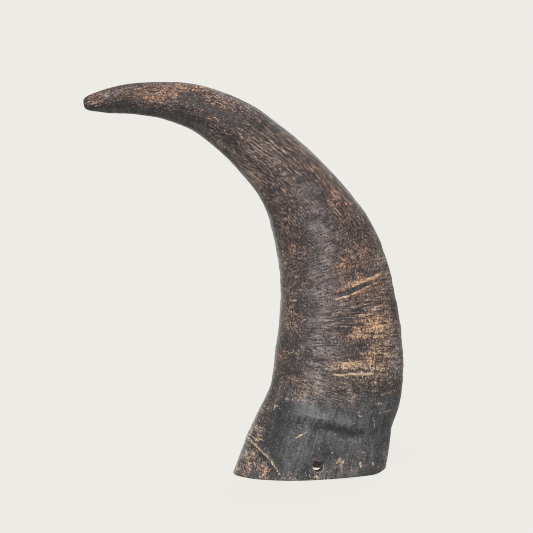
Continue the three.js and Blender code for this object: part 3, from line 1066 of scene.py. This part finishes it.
def mauve_and_highlight_share(g, at):
    """How much a place is pale mauve, partly pale skin and partly painted highlight: in clouds, less in
    the furrows.
    """
    cloudy = g.blend(at.mottle, g.blend(at.ripple, at.grit, 0.5), 0.7)
    furrow = g.times(g.scaled(at.ripple_line, -0.6, 1.0), g.step(cloudy, 0.4, 0.58))
    return g.times(at.pale, furrow, 0.9)


def horn_colour(g, at):
    rubbed = g.step(g.add(at.level, g.scaled(at.worn, 0.8)), 0.75, 1.35)
    smooth = g.times(at.slate, g.scaled(rubbed, -1.0, 1.0))
    colour = g.tint(skin_colour(g, at), slate_colour(g, at), smooth)
    colour = g.tint(colour, MAUVE, mauve_and_highlight_share(g, at))
    scratch = g.tint(at.bright, ORANGE_TAN, g.step(at.grit, 0.4, 0.62))
    scratch = g.tint(scratch, RUST, g.step(at.orange, 0.9, 1.6))
    colour = g.tint(colour, scratch, g.times(at.scratched, 0.85))
    grain = g.step(g.blend(at.fibre, at.mottle, 0.4), 0.42, 0.72)
    return g.tint(colour, g.tint(INSIDE_BROWN, INSIDE_TAN, grain), at.inside)


def horn_normal(g, at):
    """Fine relief in two layers: slow streaks, and worn specks and scratches over them."""
    height = g.add(at.speck, g.scaled(at.fine_grit, 0.35))
    height = g.times(height, g.scaled(at.slate, -0.7, 1.0))
    height = g.add(height, g.scaled(at.scratched, 0.2))
    slow = g.bump(g.blend(at.mottle, at.streak, 0.5), distance=0.0012, strength=0.35)
    return g.bump(height, distance=0.0006, strength=0.7, Normal=slow)


def horn_roughness(g, at):
    rough = g.blend(0.6, 0.7, g.step(at.level, 0.3, 0.9))
    rough = g.blend(rough, 0.46, at.slate)
    rough = g.add(rough, g.scaled(at.grit, 0.2, -0.1))
    return g.blend(rough, 0.75, at.inside)


def horn_material():
    g = Graph(bpy.data.materials.new("natural_horn"))
    at = SimpleNamespace(**{name: g.attribute(name) for name in MARK_NAMES})
    draw_patterns(g, at)
    at.rippled = g.math("MULTIPLY", at.rippled, g.scaled(at.lined, -0.5, 1.0), clamp=True)
    at.speck = worn_speck(g, at)
    at.level = worn_level(g, at)
    at.bright = g.tint(BRIGHT_TAN, BRIGHT_ORANGE, at.orange)
    ragged = g.scaled(g.blend(at.grit, at.mottle, 0.5), 3.0, -1.5)
    at.scratched = g.step(g.add(at.scratch, ragged), 0.35, -0.35)
    return g.shown(g.node("BsdfPrincipled", {
        "Base Color": horn_colour(g, at),
        "Roughness": horn_roughness(g, at),
        "Normal": horn_normal(g, at),
        "Specular IOR Level": 0.33,
        "Sheen Weight": 0.3,
        "Sheen Roughness": 0.25,
    }))


BACKDROP = linear(237, 235, 230)
FLOOR_PAINT = linear(206, 204, 200)  # looks like the backdrop under the lights
FILL_STRENGTH = 0.62  # how strongly the pale surroundings light the horn
FLOOR_SHADOW = 0.08  # the share of the floor's look that takes shadow, close to the horn
SHADOW_FADE = (0.12, 0.32)  # that share fades out between these distances from the middle


def backdrop_light(g, kind):
    """The backdrop's own colour. It lights the horn less than it shows to the camera."""
    strength = g.blend(FILL_STRENGTH, 1.0, g.node("LightPath").outputs["Is Camera Ray"])
    return g.node(kind, {"Color": BACKDROP, "Strength": strength})


def floor_material():
    """A pale sweep that takes a faint contact shadow and fades into the surroundings."""
    g = Graph(bpy.data.materials.new("pale_floor"))
    position = g.node("NewGeometry").outputs["Position"]
    distance = g.node("VectorMath", {0: position}, operation="LENGTH").outputs["Value"]
    glow = backdrop_light(g, "Emission")
    matt = g.node("BsdfDiffuse", {"Color": FLOOR_PAINT})
    share = g.blend(FLOOR_SHADOW, 0.0, g.step(distance, *SHADOW_FADE))
    return g.shown(g.node("MixShader", {0: share, 1: glow.outputs[0], 2: matt.outputs[0]}))


# ---- Stage, lights and camera ----

FLOOR_HALF = 20.0
FLOOR_DROP = 0.0002  # the floor lies a hair below the rim


def pale_floor():
    mesh = bpy.data.meshes.new("pale_floor")
    corners = [(x * FLOOR_HALF, y * FLOOR_HALF, 0) for x, y in ((-1, -1), (1, -1), (1, 1), (-1, 1))]
    mesh.from_pydata(corners, [], [(0, 1, 2, 3)])
    mesh.materials.append(floor_material())
    placed("pale_floor", mesh, (0, 0, -FLOOR_DROP))


def surroundings():
    g = Graph(bpy.data.worlds.new("studio"))
    scene = bpy.context.scene
    scene.world = g.shown(backdrop_light(g, "Background"), "OutputWorld")
    scene.view_settings.view_transform = "Standard"
    scene.view_settings.look = "None"
    scene.cycles.filter_width = 1.0


def soft_light(name, at, aim, size, watts):
    data = bpy.data.lights.new(name, "AREA")
    data.shape = "DISK"
    data.size = size
    data.energy = watts
    turn = (Vector(aim) - Vector(at)).to_track_quat("-Z", "Y").to_euler()
    placed(name, data, at).rotation_euler = turn


CAMERA_AT = (0.0154, -0.8, 0.13455)
CAMERA_SENSOR = 36.0
VIEW_WIDTH = 0.34645  # what the camera takes in across the horn's middle plane


def camera():
    data = bpy.data.cameras.new("camera")
    data.sensor_width = CAMERA_SENSOR
    data.lens = CAMERA_SENSOR * -CAMERA_AT[1] / VIEW_WIDTH
    data.clip_start = 0.01
    eye = placed("camera", data, CAMERA_AT)
    eye.rotation_euler = (math.pi / 2, 0, 0)
    bpy.context.scene.camera = eye


horn = natural_horn()
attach(horn, "root")
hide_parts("horn")

pale_floor()
surroundings()
soft_light("key_light", at=(-0.12, -1.4, 1.08), aim=(0.03, 0, 0.12), size=0.8, watts=29.5)
soft_light("back_light", at=(0.5, 0.9, 0.9), aim=(0.03, 0, 0.12), size=0.8, watts=9.0)
soft_light("edge_light", at=(-0.6, 1.2, 0.1), aim=(0.03, 0, 0.16), size=0.3, watts=3.0)
camera()
